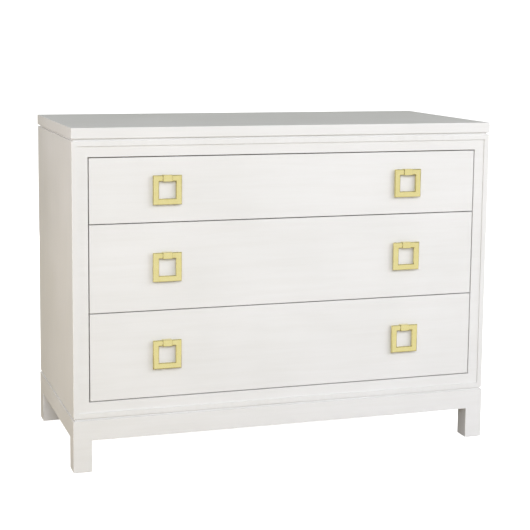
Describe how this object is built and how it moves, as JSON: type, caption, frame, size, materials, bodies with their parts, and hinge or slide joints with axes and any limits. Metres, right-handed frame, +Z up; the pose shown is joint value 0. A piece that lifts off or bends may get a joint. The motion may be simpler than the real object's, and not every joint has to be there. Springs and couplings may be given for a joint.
{
  "type": "campaign chest",
  "caption": "Low campaign chest: a panelled case on square legs, inset drawers on telescopic runners and swinging square ring pulls.",
  "frame": {"origin": "on the floor, below the middle of the whole chest, pulls included", "axes": "+X to the right as seen from the front, +Y towards the back, +Z up; the drawers open towards -Y"},
  "size_m": [1.067, 0.505, 0.819],
  "materials": {
    "lacquer": "off-white satin lacquer",
    "back_board": "primed plywood",
    "drawer_wood": "clear-coated maple",
    "runner_steel": "bright zinc",
    "screw_steel": "zinc plated",
    "pull_brass": "polished pale brass",
    "glide_plastic": "nylon"
  },
  "bodies": {
    "case": {"top_slab": "lacquer", "top_spacer": "lacquer", "side_panel_left": "lacquer", "side_panel_right": "lacquer", "case_floor": "lacquer", "case_ceiling": "lacquer", "back_panel": "back_board", "face_stile_left": "lacquer", "face_stile_right": "lacquer", "face_rail_bottom": "lacquer", "face_rail_top": "lacquer", "base_spacer": "lacquer", "leg_front_left": "lacquer", "leg_front_right": "lacquer", "leg_rear_left": "lacquer", "leg_rear_right": "lacquer", "apron_front": "lacquer", "apron_rear": "lacquer", "apron_left": "lacquer", "apron_right": "lacquer", "corner_blocks": "drawer_wood", "foot_glides": "glide_plastic", "case_screws": "screw_steel", "runner_packers": "drawer_wood", "drawer_1_runner_case": "runner_steel", "drawer_2_runner_case": "runner_steel", "drawer_3_runner_case": "runner_steel"},
    "drawer_1": {"drawer_1_runner_drawer": "runner_steel", "drawer_1_front": "lacquer", "drawer_1_box_front": "drawer_wood", "drawer_1_box_back": "drawer_wood", "drawer_1_box_sides": "drawer_wood", "drawer_1_box_floor": "drawer_wood", "drawer_1_knuckles": "pull_brass", "drawer_1_pull_bolts": "screw_steel"},
    "runner_1": {"drawer_1_runner_middle": "runner_steel"},
    "ring_1_left": {"drawer_1_ring_left": "pull_brass"},
    "ring_1_right": {"drawer_1_ring_right": "pull_brass"},
    "drawer_2": {"drawer_2_runner_drawer": "runner_steel", "drawer_2_front": "lacquer", "drawer_2_box_front": "drawer_wood", "drawer_2_box_back": "drawer_wood", "drawer_2_box_sides": "drawer_wood", "drawer_2_box_floor": "drawer_wood", "drawer_2_knuckles": "pull_brass", "drawer_2_pull_bolts": "screw_steel"},
    "runner_2": {"drawer_2_runner_middle": "runner_steel"},
    "ring_2_left": {"drawer_2_ring_left": "pull_brass"},
    "ring_2_right": {"drawer_2_ring_right": "pull_brass"},
    "drawer_3": {"drawer_3_runner_drawer": "runner_steel", "drawer_3_front": "lacquer", "drawer_3_box_front": "drawer_wood", "drawer_3_box_back": "drawer_wood", "drawer_3_box_sides": "drawer_wood", "drawer_3_box_floor": "drawer_wood", "drawer_3_knuckles": "pull_brass", "drawer_3_pull_bolts": "screw_steel"},
    "runner_3": {"drawer_3_runner_middle": "runner_steel"},
    "ring_3_left": {"drawer_3_ring_left": "pull_brass"},
    "ring_3_right": {"drawer_3_ring_right": "pull_brass"}
  },
  "joints": [
    {"name": "drawer_1_slide", "type": "slide", "parent": "case", "child": "drawer_1", "axis": [0, -1, 0], "range_m": [0, 0.385]},
    {"name": "runner_1_slide", "type": "slide", "parent": "case", "child": "runner_1", "axis": [0, -1, 0], "range_m": [0, 0.1925]},
    {"name": "ring_1_left_swing", "type": "hinge", "parent": "drawer_1", "child": "ring_1_left", "pos_m": [-0.3075, -0.2471, 0.69905], "axis": [-1, 0, 0], "range_deg": [0, 180]},
    {"name": "ring_1_right_swing", "type": "hinge", "parent": "drawer_1", "child": "ring_1_right", "pos_m": [0.3075, -0.2471, 0.69905], "axis": [-1, 0, 0], "range_deg": [0, 180]},
    {"name": "drawer_2_slide", "type": "slide", "parent": "case", "child": "drawer_2", "axis": [0, -1, 0], "range_m": [0, 0.385]},
    {"name": "runner_2_slide", "type": "slide", "parent": "case", "child": "runner_2", "axis": [0, -1, 0], "range_m": [0, 0.1925]},
    {"name": "ring_2_left_swing", "type": "hinge", "parent": "drawer_2", "child": "ring_2_left", "pos_m": [-0.3075, -0.2471, 0.51535], "axis": [-1, 0, 0], "range_deg": [0, 180]},
    {"name": "ring_2_right_swing", "type": "hinge", "parent": "drawer_2", "child": "ring_2_right", "pos_m": [0.3075, -0.2471, 0.51535], "axis": [-1, 0, 0], "range_deg": [0, 180]},
    {"name": "drawer_3_slide", "type": "slide", "parent": "case", "child": "drawer_3", "axis": [0, -1, 0], "range_m": [0, 0.385]},
    {"name": "runner_3_slide", "type": "slide", "parent": "case", "child": "runner_3", "axis": [0, -1, 0], "range_m": [0, 0.1925]},
    {"name": "ring_3_left_swing", "type": "hinge", "parent": "drawer_3", "child": "ring_3_left", "pos_m": [-0.3075, -0.2471, 0.30435], "axis": [-1, 0, 0], "range_deg": [0, 180]},
    {"name": "ring_3_right_swing", "type": "hinge", "parent": "drawer_3", "child": "ring_3_right", "pos_m": [0.3075, -0.2471, 0.30435], "axis": [-1, 0, 0], "range_deg": [0, 180]}
  ],
  "couplings": [
    {"joint": "runner_1_slide", "follows": "drawer_1_slide", "ratio": 0.5},
    {"joint": "runner_2_slide", "follows": "drawer_2_slide", "ratio": 0.5},
    {"joint": "runner_3_slide", "follows": "drawer_3_slide", "ratio": 0.5}
  ]
}
